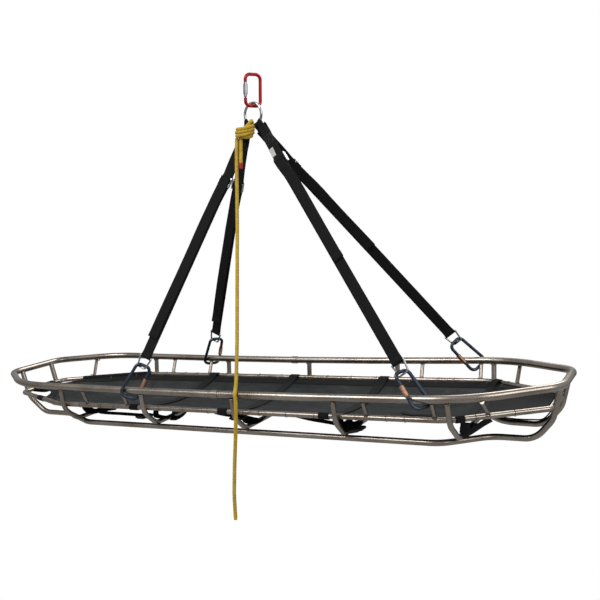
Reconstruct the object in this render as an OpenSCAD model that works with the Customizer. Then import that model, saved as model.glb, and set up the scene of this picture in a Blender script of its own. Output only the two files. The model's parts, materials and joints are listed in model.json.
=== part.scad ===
/* [Litter] */
// Overall length of the litter over its tubes
litter_len = 2134; // [1900:1:2300]
// Half width of the top rail at its centreline
rail_half_w = 285; // [270:1:300]
// Half width of the foot bar at its corners
foot_half_w = 126; // [110:1:140]
// Half width of the head bar at its corners
head_half_w = 111; // [105:1:130]
// Length of the tapered part at the foot end
foot_taper = 200; // [180:1:240]
// Length of the tapered part at the head end
head_taper = 237; // [210:1:260]
// Rise of the rails one metre from the middle
sheer = 14.6; // [8:0.1:18]
// How far the litter hangs head-up
litter_tilt = 4.9; // [0:0.1:6]

/* [Tubes] */
// Top rail diameter
rail_d = 24; // [22:0.5:26]
// Middle rail diameter
mid_d = 17; // [15:0.5:18]
// Runner diameter
runner_d = 19; // [18:0.5:20]
// Rib diameter
rib_d = 17; // [15:0.5:18]
// Short post diameter
post_d = 13; // [11:0.5:14]
// Half width of the middle rail
mid_half_w = 261; // [250:1:264]
// Middle rail below the top rail
mid_drop = 62; // [56:1:66]
// Runner below the top rail
runner_drop = 143; // [138:1:150]
// Half distance between the runners
runner_half_w = 205; // [190:1:212]

/* [Bridle] */
// Ring centre above the top rail plane
ring_height = 902; // [880:1:930]
// Ring centre from the middle of the litter
ring_x = 62.9; // [40:0.1:90]
// Lifting ring mean radius
ring_r = 38.5; // [36:0.5:42]
// Lifting ring wire diameter
ring_d = 9; // [8:0.5:10]
// Webbing width
web_w = 38; // [34:1:48]
// Webbing leg thickness, two layers
web_t = 5; // [4:0.5:6]
// Tag line diameter
rope_d = 12.5; // [11:0.5:13]

/* [Hidden] */
$fn = 48;

steel = [0.55, 0.50, 0.45];
chrome = [0.80, 0.80, 0.82];
dark_steel = [0.13, 0.16, 0.20];
copper = [0.72, 0.42, 0.25];
black = [0.08, 0.08, 0.09];
red = [0.75, 0.10, 0.08];
yellow = [0.90, 0.75, 0.10];

// ---- vectors -------------------------------------------------------------
function unit(v) = v / norm(v);
function clamp1(v) = max(-1, min(1, v));
function turn_angle(a, b) = acos(clamp1(unit(a) * unit(b)));
function tilted(p) = [p[0] * cos(litter_tilt) - p[2] * sin(litter_tilt), p[1],
    p[0] * sin(litter_tilt) + p[2] * cos(litter_tilt)];

// Places children with local Z along dir and local X as near ref as it can be
module aim(at, dir, ref) {
    z = unit(dir);
    y = unit(cross(z, ref));
    x = cross(y, z);
    multmatrix([[x[0], y[0], z[0], at[0]], [x[1], y[1], z[1], at[1]],
            [x[2], y[2], z[2], at[2]], [0, 0, 0, 1]])
        children();
}

module rod(a, b, d) {
    ref = abs(unit(b - a)[2]) > 0.9 ? [1, 0, 0] : [0, 0, 1];
    aim(a, b - a, ref) cylinder(h = norm(b - a), d = d);
}

// Quarter-like bend: leaves a along ua towards corner p, then on along ub
module bend(p, ua, ub, r, d) {
    theta = turn_angle(ua, ub);
    t = r * tan(theta / 2);
    start = p - ua * t;
    inward = unit(ub - ua * (ua * ub));
    aim(start + inward * r, cross(ua, inward), -inward)
        rotate_extrude(angle = theta, $fn = 96) translate([r, 0]) circle(d = d, $fn = 32);
}

bend_step = 0.2;                // a bend is this much thicker than its tube
bend_lap = 1;                   // and the tube runs this far into it
// Tube through pts, its inner corners bent to the radii in rs
module bent_tube(pts, rs, d) {
    n = len(pts);
    function dirn(i) = unit(pts[i + 1] - pts[i]);
    function trim(i) = (i <= 0 || i >= n - 1) ? 0
        : rs[i] * tan(turn_angle(dirn(i - 1), dirn(i)) / 2) - bend_lap;
    for (i = [0 : n - 2])
        rod(pts[i] + dirn(i) * trim(i), pts[i + 1] - dirn(i) * trim(i + 1), d);
    for (i = [1 : n - 2])
        bend(pts[i], dirn(i - 1), dirn(i), rs[i], d + bend_step);
}

// ---- places --------------------------------------------------------------
hook_d = 11;                    // lifting carabiner bar
hook_in_h = 93;                 // its inside height
hook_in_w = 43;                 // its inside width
bow_gap = 0.4;                  // free gap between bow and ring
hook_low = -hook_in_h - hook_d / 2;
ring_top = hook_low + hook_d / 2 + ring_d / 2 + bow_gap;
ring_mid = ring_top - ring_r;
ring_turn = -14.5;              // ring plane about the vertical
hook_turn = 52;                 // lifting carabiner plane about the vertical

half_len = litter_len / 2 - rail_d / 2;
function rail_z(x) = sheer * pow(x / 1000, 2);
mid_droop = 4;                  // drop of the middle rails one metre towards the foot
function mid_z(x) = -mid_drop + (x > 0 ? sheer / 2 : -mid_droop) * pow(x / 1000, 2);

// Places children given in the litter's own level frame
module litter() {
    translate([0, 0, ring_mid]) rotate([0, -litter_tilt, 0])
        translate([-ring_x, 0, -ring_height]) children();
}
function in_world(p) = tilted(p - [ring_x, 0, ring_height]) + [0, 0, ring_mid];

split_x = 640;                  // the side rails end and the end loops begin
top_side = [-split_x, -320, 0, 320, split_x];
foot_shoulder = foot_taper - half_len;
head_shoulder = half_len - head_taper;
mid_foot = [foot_shoulder + 155, 27 - half_len, 112];  // shoulder x, end x, half width at the end
mid_head = [head_shoulder - 60, half_len - 34, 90];

module side_rail(s) {
    bent_tube([for (x = top_side) [x, s * rail_half_w, rail_z(x)]], [0, 3000, 3000, 3000, 0], rail_d);
}
module end_rail(x0, shoulder, x_end, half_w, shoulder_r, corner_r) {
    bent_tube([[x0, -rail_half_w, rail_z(x0)],
            [shoulder, -rail_half_w, rail_z(shoulder)],
            [x_end, -half_w, rail_z(x_end)],
            [x_end, half_w, rail_z(x_end)],
            [shoulder, rail_half_w, rail_z(shoulder)],
            [x0, rail_half_w, rail_z(x0)]],
        [0, shoulder_r, corner_r, corner_r, shoulder_r, 0], rail_d);
}
module top_rail_near() { color(steel) litter() side_rail(-1); }
module top_rail_far() { color(steel) litter() side_rail(1); }
module top_rail_head() {
    color(steel) litter() end_rail(split_x, head_shoulder, half_len, head_half_w, 350, 90);
}
module top_rail_foot() {
    color(steel) litter() end_rail(-split_x, foot_shoulder, -half_len, foot_half_w, 300, 80);
}
module rail_collars() {
    color(steel) litter() for (s = [-1, 1])
        translate([0, s * rail_half_w, 0]) rotate([0, 90, 0])
            difference() {
                cylinder(h = 22, d = rail_d + 4, center = true);
                cylinder(h = 23, d = rail_d - 0.6, center = true);
            }
}

module mid_side(s) {
    bent_tube([for (x = top_side) [x, s * mid_half_w, mid_z(x)]], [0, 3000, 3000, 3000, 0], mid_d);
}
module mid_end(x0, m, shoulder_r, corner_r) {
    bent_tube([[x0, -mid_half_w, mid_z(x0)], [m[0], -mid_half_w, mid_z(m[0])],
            [m[1], -m[2], mid_z(m[1])], [m[1], m[2], mid_z(m[1])],
            [m[0], mid_half_w, mid_z(m[0])], [x0, mid_half_w, mid_z(x0)]],
        [0, shoulder_r, corner_r, corner_r, shoulder_r, 0], mid_d);
}
module mid_rail_near() { color(steel) litter() mid_side(-1); }
module mid_rail_far() { color(steel) litter() mid_side(1); }
module mid_rail_head() { color(steel) litter() mid_end(split_x, mid_head, 150, 35); }
module mid_rail_foot() { color(steel) litter() mid_end(-split_x, mid_foot, 150, 45); }

runner_end_w = 80;              // half distance between the runners' upswept ends
runner_low = -runner_drop - 8;  // their low point at the ends
head_up = half_len - 11;        // where the runners rise at the head
foot_up = 16 - half_len;
module runner(s) {
    bent_tube([[foot_up - 12, s * runner_end_w, rail_z(half_len) - 7],
            [foot_up + 12, s * runner_end_w, -90],
            [foot_up + 90, s * runner_end_w, runner_low],
            [-815, s * (runner_end_w + 5), runner_low],
            [-620, s * runner_half_w, -runner_drop],
            [715, s * runner_half_w, -runner_drop],
            [838, s * (runner_end_w + 3), runner_low + 2],
            [half_len - 90, s * runner_end_w, runner_low],
            [head_up - 26, s * runner_end_w, -90],
            [head_up, s * runner_end_w, rail_z(half_len) - 7]],
        [0, 70, 70, 90, 90, 90, 90, 70, 70, 0], runner_d);
}
module runner_near() { color(steel) litter() runner(-1); }
module runner_far() { color(steel) litter() runner(1); }

rib_x = [-658, -300, 60, 416, 767];
rib_low = runner_d / 2 + rib_d / 2 - 2 - runner_drop;
module rib(i) {
    x = rib_x[i];
    narrow = i == 4 ? 4 : 0;
    top_y = rail_half_w - narrow;
    mid_y = mid_half_w + 17 - narrow * 3;
    foot_y = runner_half_w + (i == 4 ? -18 : 12);
    zt = rail_z(x) - rail_d / 2 + 1;
    low = rib_low - (i == 4 ? 3 : 0);
    bent_tube([[x, -top_y, zt], [x, -mid_y, mid_z(x) - 14], [x, -foot_y, low],
            [x, foot_y, low], [x, mid_y, mid_z(x) - 14], [x, top_y, zt]],
        [0, 60, 55, 55, 60, 0], rib_d);
}
module rib_1() { color(steel) litter() rib(0); }
module rib_2() { color(steel) litter() rib(1); }
module rib_3() { color(steel) litter() rib(2); }
module rib_4() { color(steel) litter() rib(3); }
module rib_5() { color(steel) litter() rib(4); }

// Short posts: place along the litter, then half width at the top and at the middle rail
posts_both = [[-560, 285, 261], [-381, 285, 261], [512, 285, 261], [723, 284.5, 261], [860, 259, 196]];
module post(p, s) {
    rod([p[0], s * (p[1] - 1), rail_z(p[0]) - rail_d / 2 + 1],
        [p[0], s * p[2], mid_z(p[0]) + mid_d / 2 - 1.5], post_d);
}
module posts_near() { color(steel) litter() for (p = posts_both) post(p, -1); }
module posts_far() {
    color(steel) litter() {
        for (p = posts_both) post(p, 1);
        rod([-930, 226, rail_z(-930) - rail_d / 2 + 1], [-902, 169, mid_z(-902) + mid_d / 2 - 1.5], post_d);
    }
}

// ---- bed -----------------------------------------------------------------
bed_top = -78;                  // plain panel below the middle rails
bed_t = 4;
bed_gap = 5;
module mesh_bed() {
    foot_x = mid_foot[1] + 110;
    head_x = mid_head[1] - 22;
    w = mid_half_w - mid_d / 2 - bed_gap;
    color(black) litter() translate([0, 0, bed_top]) linear_extrude(bed_t)
        polygon([[foot_x, -120], [mid_foot[0], -w], [mid_head[0], -w], [head_x, -60],
                [head_x, 60], [mid_head[0], w], [mid_foot[0], w], [foot_x, 120]]);
}

// Restraint straps across the bed, each side of the litter ending on the middle rail
strap_x = [-353, 8, 372, 782];
strap_w = 38;
strap_t = 2;
module restraint_straps() {
    color(black) litter() for (x = strap_x) {
        w = x > 700 ? 224 : mid_half_w - mid_d / 2 - 6;
        translate([x, 0, bed_top + bed_t + strap_t]) cube([strap_w, 2 * w, strap_t], center = true);
    }
}
// Plastic buckle stowed under each strap's near end
module strap_buckles() {
    color(black) litter() for (x = strap_x) {
        y = x > 700 ? 130 : 170;
        translate([x, -y, bed_top - 14]) {
            cube([46, 52, 9], center = true);
            translate([0, 34, 0]) cube([38, 20, 5], center = true);
        }
    }
}

// ---- lifting ring and carabiners -----------------------------------------
// Places children in the ring's plane: local X across it, local Z its axis
module ring_place() {
    translate([0, 0, ring_mid]) rotate([0, 0, ring_turn]) rotate([90, 0, 0]) children();
}
module ring_shape(d) { rotate_extrude($fn = 96) translate([ring_r, 0]) circle(d = d); }
module lift_ring() { color(chrome) ring_place() ring_shape(ring_d); }
// Everything that wraps the ring is cut back to this
module ring_clearance() { ring_place() ring_shape(ring_d + 0.8); }

// Offset-D bar in local XZ: origin at the low bow's bar centre, gate side on +X
hook_clear = 0.4;               // gap at each end of a gate
module hook_body(w, h, d, low, high, lean = 0) {
    r = w * 0.31;
    top_r = r - lean / 6;
    bent_tube([[w / 2, 0, low], [w * 0.49, 0, 0], [-w / 2, 0, 0], [lean - w / 2, 0, h],
            [w / 2, 0, h], [w / 2, 0, high]],
        [0, r, r, top_r, top_r, 0], d);
}
// Gate bar with a round hinge end at its foot
module hook_gate(w, d, low, high) {
    foot = low + d / 2 + hook_clear;
    translate([w / 2, 0, foot]) {
        sphere(d = d);
        cylinder(h = high - foot - hook_clear, d = d - 0.1);
    }
}
// Screw sleeve that travels along the gate towards the nose
sleeve_fit = 0.12;
module hook_sleeve(w, d, low, len) {
    translate([w / 2, 0, low]) difference() {
        cylinder(h = len, d = d + 4);
        translate([0, 0, -1]) cylinder(h = len + 2, d = d + sleeve_fit);
    }
}

// Lifting carabiner: spine away from the gate, hung from its top bow
hook_w = hook_in_w + hook_d;
hook_h = hook_in_h + hook_d;
hook_gate = [26, 78];           // low and high end of its gate
hook_sleeve_at = [38, 33];      // low end and length of its sleeve
module hook_place() { translate([0, 0, hook_low]) rotate([0, 0, hook_turn + 180]) children(); }
module lift_carabiner_body() {
    color(red) hook_place() hook_body(hook_w, hook_h, hook_d, hook_gate[0], hook_gate[1]);
}
module lift_carabiner_gate() {
    color(chrome) hook_place() hook_gate(hook_w, hook_d, hook_gate[0], hook_gate[1]);
}
module lift_carabiner_sleeve() {
    color(chrome) hook_place() hook_sleeve(hook_w, hook_d, hook_sleeve_at[0], hook_sleeve_at[1]);
}

// ---- bridle legs ---------------------------------------------------------
// Leg: carabiner's place along the rail, side, turn of the carabiner about the leg,
// angle of its eye round the ring from the bottom, adjuster below the ring
legs = [[-342, -1, 42, -22, 225], [-379, 1, 45, -48, 255], [687, -1, 228, 48, 190], [700, 1, 228, 22, 205]];
clip_d = 11;                    // rail carabiner bar
clip_w = 62;                    // its width and height over bar centres
clip_h = 122;
clip_gate = [34, 90];
clip_sleeve = [46, 34];
clip_lean = 14;                 // its spine leans in by this much at the top
clip_sit = 25.4;                // rail centre above the low bow, clear of it on a slanting leg
link_h = 38;                    // wire link, height over bar centres
link_d = 6;
link_w = [32, 44];              // its width at the bottom and at the top
eye_w = 15;                     // webbing gathered at the ring
neck = 62;                      // length of the gathered part

function ring_point(a) = [0, 0, ring_mid]
    + ring_r * [sin(a) * cos(ring_turn), sin(a) * sin(ring_turn), -cos(a)];
function rail_point(i) = in_world([legs[i][0], legs[i][1] * rail_half_w, rail_z(legs[i][0])]);
function eye_point(i) = ring_point(legs[i][3]);
function leg_dir(i) = unit(eye_point(i) - rail_point(i));
function clip_low(i) = rail_point(i) - leg_dir(i) * clip_sit;
function link_low(i) = clip_low(i) + leg_dir(i) * (clip_h - clip_d / 2 - link_d / 2 - 0.4);
function leg_low(i) = link_low(i) + leg_dir(i) * (link_h + link_d / 2 + 0.4);
function leg_len(i) = norm(eye_point(i) - leg_low(i));
function leg_across(i) = unit(cross([0, 1, 0], leg_dir(i)));

module clip_place(i) {
    side = unit(cross(leg_dir(i), [1, 0, 0]));
    along = cross(side, leg_dir(i));
    a = legs[i][2];
    aim(clip_low(i), leg_dir(i), along * cos(a) + side * sin(a)) children();
}
module rail_carabiner_body(i) {
    color(dark_steel) clip_place(i)
        hook_body(clip_w, clip_h, clip_d, clip_gate[0], clip_gate[1], clip_lean);
}
module rail_carabiner_gate(i) {
    color(dark_steel) clip_place(i) hook_gate(clip_w, clip_d, clip_gate[0], clip_gate[1]);
}
module rail_carabiner_sleeve(i) {
    color(copper) clip_place(i) hook_sleeve(clip_w, clip_d, clip_sleeve[0], clip_sleeve[1]);
}

module wire_link(i) {
    b = link_w[0] / 2;
    t = link_w[1] / 2;
    color(chrome) aim(link_low(i), leg_dir(i), leg_across(i)) {
        bent_tube([[-t, 0, link_h], [-b, 0, 0], [b, 0, 0], [t, 0, link_h]], [0, 8, 8, 0], link_d);
        rod([-t, 0, link_h], [t, 0, link_h], link_d);
        for (x = [-t, t]) translate([x, 0, link_h]) sphere(d = link_d + 0.4);
    }
}

// Places children at a distance up a leg, with local X across the webbing and Y out of its face
module leg_place(i, up) { aim(leg_low(i) + leg_dir(i) * up, leg_dir(i), leg_across(i)) children(); }
function adjuster_up(i) = leg_len(i) - legs[i][4];

cheek_h = 34;                   // adjuster's side plates
cheek_y = 12;
cheek_t = 3;
cam_pin_d = 4;
cam_up = 19;                    // cam pin above the foot of the plates
adjuster_w = web_w + 8;         // over the plates
module webbing_leg(i) {
    color(black) difference() {
        union() {
            leg_place(i, 0.3) translate([-web_w / 2, -web_t / 2, 0])
                cube([web_w, web_t, leg_len(i) - neck]);
            leg_place(i, leg_len(i) - neck - 1) translate([-eye_w / 2, -web_t, 0])
                cube([eye_w, 2 * web_t, neck + 8]);
        }
        leg_place(i, adjuster_up(i) - 2) translate([-web_w, -web_w, 0])
            cube([2 * web_w, 2 * web_w, cheek_h + 4]);
        ring_clearance();
    }
}
module adjuster_frame(i) {
    color(chrome) leg_place(i, adjuster_up(i)) {
        difference() {
            for (s = [-1, 1]) translate([s * (adjuster_w - cheek_t) / 2, 0, cheek_h / 2])
                cube([cheek_t, cheek_y, cheek_h], center = true);
            translate([0, 0, cam_up]) rotate([0, 90, 0])
                cylinder(h = adjuster_w + 2, d = cam_pin_d + 0.1, center = true);
        }
        for (z = [4, cheek_h - 4]) translate([0, 0, z]) rotate([0, 90, 0])
            cylinder(h = adjuster_w - cheek_t, d = 6, center = true);
    }
}
// Cam with its lever, turning on its pin between the plates
module adjuster_cam(i) {
    inside = adjuster_w - 2 * cheek_t - 1;
    color(chrome) leg_place(i, adjuster_up(i)) translate([0, 0, cam_up]) {
        rotate([0, 90, 0]) cylinder(h = adjuster_w + 1, d = cam_pin_d, center = true);
        rotate([0, 90, 0]) cylinder(h = inside, d = 10, center = true);
        translate([-inside / 2, 3.6, -18]) cube([inside, 2.5, 19]);
    }
}

module webbing_leg_1() { webbing_leg(0); }
module webbing_leg_2() { webbing_leg(1); }
module webbing_leg_3() { webbing_leg(2); }
module webbing_leg_4() { webbing_leg(3); }

module adjuster_frame_1() { adjuster_frame(0); }
module adjuster_frame_2() { adjuster_frame(1); }
module adjuster_frame_3() { adjuster_frame(2); }
module adjuster_frame_4() { adjuster_frame(3); }

module adjuster_cam_1() { adjuster_cam(0); }
module adjuster_cam_2() { adjuster_cam(1); }
module adjuster_cam_3() { adjuster_cam(2); }
module adjuster_cam_4() { adjuster_cam(3); }

module wire_link_1() { wire_link(0); }
module wire_link_2() { wire_link(1); }
module wire_link_3() { wire_link(2); }
module wire_link_4() { wire_link(3); }

module rail_carabiner_body_1() { rail_carabiner_body(0); }
module rail_carabiner_body_2() { rail_carabiner_body(1); }
module rail_carabiner_body_3() { rail_carabiner_body(2); }
module rail_carabiner_body_4() { rail_carabiner_body(3); }

module rail_carabiner_gate_1() { rail_carabiner_gate(0); }
module rail_carabiner_gate_2() { rail_carabiner_gate(1); }
module rail_carabiner_gate_3() { rail_carabiner_gate(2); }
module rail_carabiner_gate_4() { rail_carabiner_gate(3); }

module rail_carabiner_sleeve_1() { rail_carabiner_sleeve(0); }
module rail_carabiner_sleeve_2() { rail_carabiner_sleeve(1); }
module rail_carabiner_sleeve_3() { rail_carabiner_sleeve(2); }
module rail_carabiner_sleeve_4() { rail_carabiner_sleeve(3); }

// ---- tag line ------------------------------------------------------------
knot_at = [-12, -34, -184];     // knot tied on the ring
line_end_z = -1434;             // where the hanging line ends
rope_path = [[-40, -42, -205], [-36, -50, -240], [-31, -60, -300], [-20, -78, -365], [-8, -98, -430],
    [4, -118, -495], [16, -140, -560], [27, -160, -625], [38, -180, -690], [49, -200, -755],
    [60, -220, -820], [70, -239, -880], [79, -258, -935], [86, -273, -978], [92, -288, -1002],
    [98, -303, -1016], [103, -306, -1040], [103, -306, -1080], [102, -306, -1130], [100, -306, -1180],
    [97, -306, -1240], [95, -306, -1300], [94, -306, -1350], [96, -306, -1395], [98, -306, line_end_z]];

function side_of(t) = unit(cross(t, [0.3, 1, 0.2]));
// Even steps along a smooth curve through the route's points
function spline(p, i, t) = let (a = p[max(i - 1, 0)], b = p[i], c = p[i + 1], e = p[min(i + 2, len(p) - 1)])
    0.5 * (2 * b + (c - a) * t + (2 * a - 5 * b + 4 * c - e) * t * t + (3 * b - a - 3 * c + e) * t * t * t);
function smooth(p, per) = [for (i = [0 : len(p) - 2], k = [0 : per - 1]) spline(p, i, k / per), p[len(p) - 1]];
module swept(path, d, sides) {
    n = len(path);
    rings = [for (i = [0 : n - 1]) let (t = unit(path[min(i + 1, n - 1)] - path[max(i - 1, 0)]),
            u = side_of(t), v = cross(t, u))
        for (k = [0 : sides - 1]) path[i] + d / 2 * (u * cos(360 * k / sides) + v * sin(360 * k / sides))];
    walls = [for (i = [0 : n - 2], k = [0 : sides - 1])
        [i * sides + k, i * sides + (k + 1) % sides, (i + 1) * sides + (k + 1) % sides, (i + 1) * sides + k]];
    caps = [[for (k = [0 : sides - 1]) sides - 1 - k], [for (k = [0 : sides - 1]) (n - 1) * sides + k]];
    polyhedron(rings, [for (f = concat(walls, caps)) [for (k = [len(f) - 1 : -1 : 0]) f[k]]]);
}
module tag_line() { color(yellow) swept(smooth(rope_path, 2), rope_d, 10); }
module tag_line_knot() {
    color(yellow) difference() {
        union() {
            translate(knot_at) sphere(r = 25);
            translate([-32, -42, -190]) sphere(r = 19);
            translate([-8, -21, -161]) sphere(r = 17);
        }
        ring_clearance();
        intersection() {
            swept(smooth(rope_path, 2), rope_d, 10);
            translate([-100, -100, -260]) cube([200, 200, 100]);
        }
    }
}
// The knot's own short tail, beside the hanging line, with tape round its end
tail_from = [-16, -57, -308];
tail_to = [-25, -40, -205];
tape_len = 18;
module knot_tail() { color(yellow) rod(tail_from, tail_to, rope_d); }
module tail_tape() {
    color(red) aim(tail_from, tail_to - tail_from, [1, 0, 0]) difference() {
        cylinder(h = tape_len, d = rope_d + 1.2);
        translate([0, 0, -1]) cylinder(h = tape_len + 2, d = rope_d);
    }
}

lift_carabiner_body();
lift_carabiner_gate();
lift_carabiner_sleeve();
lift_ring();
webbing_leg_1();
webbing_leg_2();
webbing_leg_3();
webbing_leg_4();
adjuster_frame_1();
adjuster_frame_2();
adjuster_frame_3();
adjuster_frame_4();
adjuster_cam_1();
adjuster_cam_2();
adjuster_cam_3();
adjuster_cam_4();
wire_link_1();
wire_link_2();
wire_link_3();
wire_link_4();
rail_carabiner_body_1();
rail_carabiner_body_2();
rail_carabiner_body_3();
rail_carabiner_body_4();
rail_carabiner_gate_1();
rail_carabiner_gate_2();
rail_carabiner_gate_3();
rail_carabiner_gate_4();
rail_carabiner_sleeve_1();
rail_carabiner_sleeve_2();
rail_carabiner_sleeve_3();
rail_carabiner_sleeve_4();
top_rail_near();
top_rail_far();
top_rail_head();
top_rail_foot();
rail_collars();
mid_rail_near();
mid_rail_far();
mid_rail_head();
mid_rail_foot();
runner_near();
runner_far();
rib_1();
rib_2();
rib_3();
rib_4();
rib_5();
posts_near();
posts_far();
mesh_bed();
restraint_straps();
strap_buckles();
tag_line_knot();
tag_line();
knot_tail();
tail_tape();
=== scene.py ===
"""Looks for the basket rescue stretcher: materials, webbing, bed, rope, camera and light."""
import json
import math

import bpy
import numpy as np
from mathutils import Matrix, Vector


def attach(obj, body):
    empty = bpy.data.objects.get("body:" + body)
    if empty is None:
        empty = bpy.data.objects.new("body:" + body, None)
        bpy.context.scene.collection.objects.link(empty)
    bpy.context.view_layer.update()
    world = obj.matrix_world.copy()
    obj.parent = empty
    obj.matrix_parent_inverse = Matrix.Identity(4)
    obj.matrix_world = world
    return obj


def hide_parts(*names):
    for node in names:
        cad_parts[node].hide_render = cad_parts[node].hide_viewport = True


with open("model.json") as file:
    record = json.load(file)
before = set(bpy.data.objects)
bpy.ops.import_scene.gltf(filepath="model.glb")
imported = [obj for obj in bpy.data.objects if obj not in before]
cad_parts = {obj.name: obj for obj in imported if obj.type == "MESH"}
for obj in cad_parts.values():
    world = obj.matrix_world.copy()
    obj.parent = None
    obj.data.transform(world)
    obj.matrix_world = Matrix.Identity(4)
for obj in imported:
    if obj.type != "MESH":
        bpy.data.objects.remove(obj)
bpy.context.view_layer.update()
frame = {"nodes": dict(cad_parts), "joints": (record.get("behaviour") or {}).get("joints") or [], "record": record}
record = frame["record"]
nodes = frame["nodes"]
MM = 0.001


# ---- places read from the frame ------------------------------------------
def vec(v):
    return np.array(v, float)


def unit(v):
    return vec(v) / np.linalg.norm(v)


mounts = {m["name"]: m for m in record["mounts"]}
joints = {j["name"]: j for j in frame["joints"]}
RUNNER_DROP = 0.143 + 0.0095       # rail plane to the runners' underside
UP = -unit(mounts["runner_rest"]["axis"])
SIDE = vec([0, 1, 0])
ALONG = np.cross(SIDE, UP)
RAIL_MID = vec(mounts["runner_rest"]["pos_m"]) + UP * RUNNER_DROP
SHEER = 0.0146                     # rise of the rails one metre from the middle
MID_DROP = 0.062                   # middle rail below the top rail
RAIL_R, MID_R, POST_R, RIB_R = 0.012, 0.0085, 0.0065, 0.0085
# Each pair of posts: its place along the litter, then half widths at the top and middle rails
POSTS = [(-0.560, 0.285, 0.261), (-0.381, 0.285, 0.261), (0.512, 0.285, 0.261),
         (0.723, 0.2845, 0.261), (0.860, 0.259, 0.196)]
RIBS = [-0.658, -0.300, 0.060, 0.416, 0.767]


def at(x, y, z):
    """A point given in the litter's own level frame, from the middle of its top rail."""
    return RAIL_MID + ALONG * x + SIDE * y + UP * z


def mid_rail_z(x):
    """Height of the middle rail, which rises to the head and drops a little to the foot."""
    return -MID_DROP + (SHEER / 2 if x > 0 else -0.004) * x * x


def in_litter(points):
    """Points given in whole millimetres in the litter's own frame."""
    return [at(x * MM, y * MM, z * MM) for x, y, z in points]


RING = vec(joints["sling_swing"]["pos_m"])
RING_AXIS = unit(joints["sling_swing"]["axis"])
RING_R, RING_WIRE = 0.0385, 0.009
ROPE_D = 0.0125


# ---- camera --------------------------------------------------------------
CAMERA_AT = (1.394, -2.4405, -0.351)
AZIMUTH, ELEVATION, LENS = 26.49, 8.32, 48.62


def make_camera():
    cam = bpy.data.objects.new("camera", bpy.data.cameras.new("camera"))
    bpy.context.scene.collection.objects.link(cam)
    a, e = math.radians(AZIMUTH), math.radians(ELEVATION)
    back = Vector((math.sin(a) * math.cos(e), -math.cos(a) * math.cos(e), math.sin(e)))
    cam.location = CAMERA_AT
    cam.rotation_mode = "QUATERNION"
    cam.rotation_quaternion = (-back).to_track_quat("-Z", "Y")
    cam.data.lens, cam.data.sensor_width = LENS, 36
    cam.data.clip_end = 50
    bpy.context.scene.camera = cam


make_camera()


# ---- shader building -----------------------------------------------------
class Shader:
    """A material with a few short calls for the nodes that every finish here uses."""

    def __init__(self, name, color, metallic=0.0, rough=0.5, **sockets):
        self.mat = bpy.data.materials.new(name)
        self.mat.use_nodes = True
        self.tree = self.mat.node_tree
        self.bsdf = self.tree.nodes["Principled BSDF"]
        self.put("Base Color", (*color, 1))
        self.put("Metallic", metallic)
        self.put("Roughness", rough)
        for key, value in sockets.items():
            self.put(key.replace("_", " "), value)

    def put(self, socket, value):
        self.bsdf.inputs[socket].default_value = value

    def node(self, kind, **props):
        n = self.tree.nodes.new("ShaderNode" + kind)
        for key, value in props.items():
            setattr(n, key, value)
        return n

    def link(self, a, b):
        self.tree.links.new(a, b)
        return b

    def coords(self, output="Object", scale=(1, 1, 1), rotation=(0, 0, 0)):
        mapping = self.node("Mapping")
        self.link(self.node("TexCoord").outputs[output], mapping.inputs["Vector"])
        mapping.inputs["Scale"].default_value = scale
        mapping.inputs["Rotation"].default_value = rotation
        return mapping.outputs[0]

    def noise(self, vector, scale, detail=4.0, rough=0.55, distortion=0.0):
        n = self.node("TexNoise")
        self.link(vector, n.inputs["Vector"])
        n.inputs["Scale"].default_value = scale
        n.inputs["Detail"].default_value = detail
        n.inputs["Roughness"].default_value = rough
        n.inputs["Distortion"].default_value = distortion
        return n.outputs["Fac"]

    def wave(self, vector, scale, direction="X", distortion=0.0):
        n = self.node("TexWave", bands_direction=direction)
        self.link(vector, n.inputs["Vector"])
        n.inputs["Scale"].default_value = scale
        n.inputs["Distortion"].default_value = distortion
        return n.outputs["Fac"]

    def math(self, op, a, b=None, clamp=False):
        n = self.node("Math", operation=op, use_clamp=clamp)
        for socket, value in zip(n.inputs, (a, b)):
            if value is None:
                continue
            if isinstance(value, (int, float)):
                socket.default_value = value
            else:
                self.link(value, socket)
        return n.outputs[0]

    def ramp(self, fac, stops):
        n = self.node("ValToRGB")
        self.link(fac, n.inputs["Fac"])
        while len(n.color_ramp.elements) < len(stops):
            n.color_ramp.elements.new(0.5)
        for element, (pos, color) in zip(n.color_ramp.elements, stops):
            element.position = pos
            element.color = (*color, 1) if len(color) == 3 else color
        return n.outputs["Color"]

    def mix(self, fac, a, b, blend="MIX"):
        n = self.node("Mix", data_type="RGBA", blend_type=blend)
        for socket, value in ((n.inputs[0], fac), (n.inputs[6], a), (n.inputs[7], b)):
            if isinstance(value, (int, float)):
                socket.default_value = value
            elif isinstance(value, tuple):
                socket.default_value = (*value, 1)
            else:
                self.link(value, socket)
        return n.outputs[2]

    def range(self, fac, low, high):
        n = self.node("MapRange")
        self.link(fac, n.inputs["Value"])
        n.inputs["To Min"].default_value, n.inputs["To Max"].default_value = low, high
        return n.outputs["Result"]

    def color(self, output):
        self.link(output, self.bsdf.inputs["Base Color"])

    def rough(self, output):
        self.link(output, self.bsdf.inputs["Roughness"])

    def bump(self, height, strength, distance):
        n = self.node("Bump")
        self.link(height, n.inputs["Height"])
        n.inputs["Strength"].default_value = strength
        n.inputs["Distance"].default_value = distance
        self.link(n.outputs["Normal"], self.bsdf.inputs["Normal"])


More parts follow.
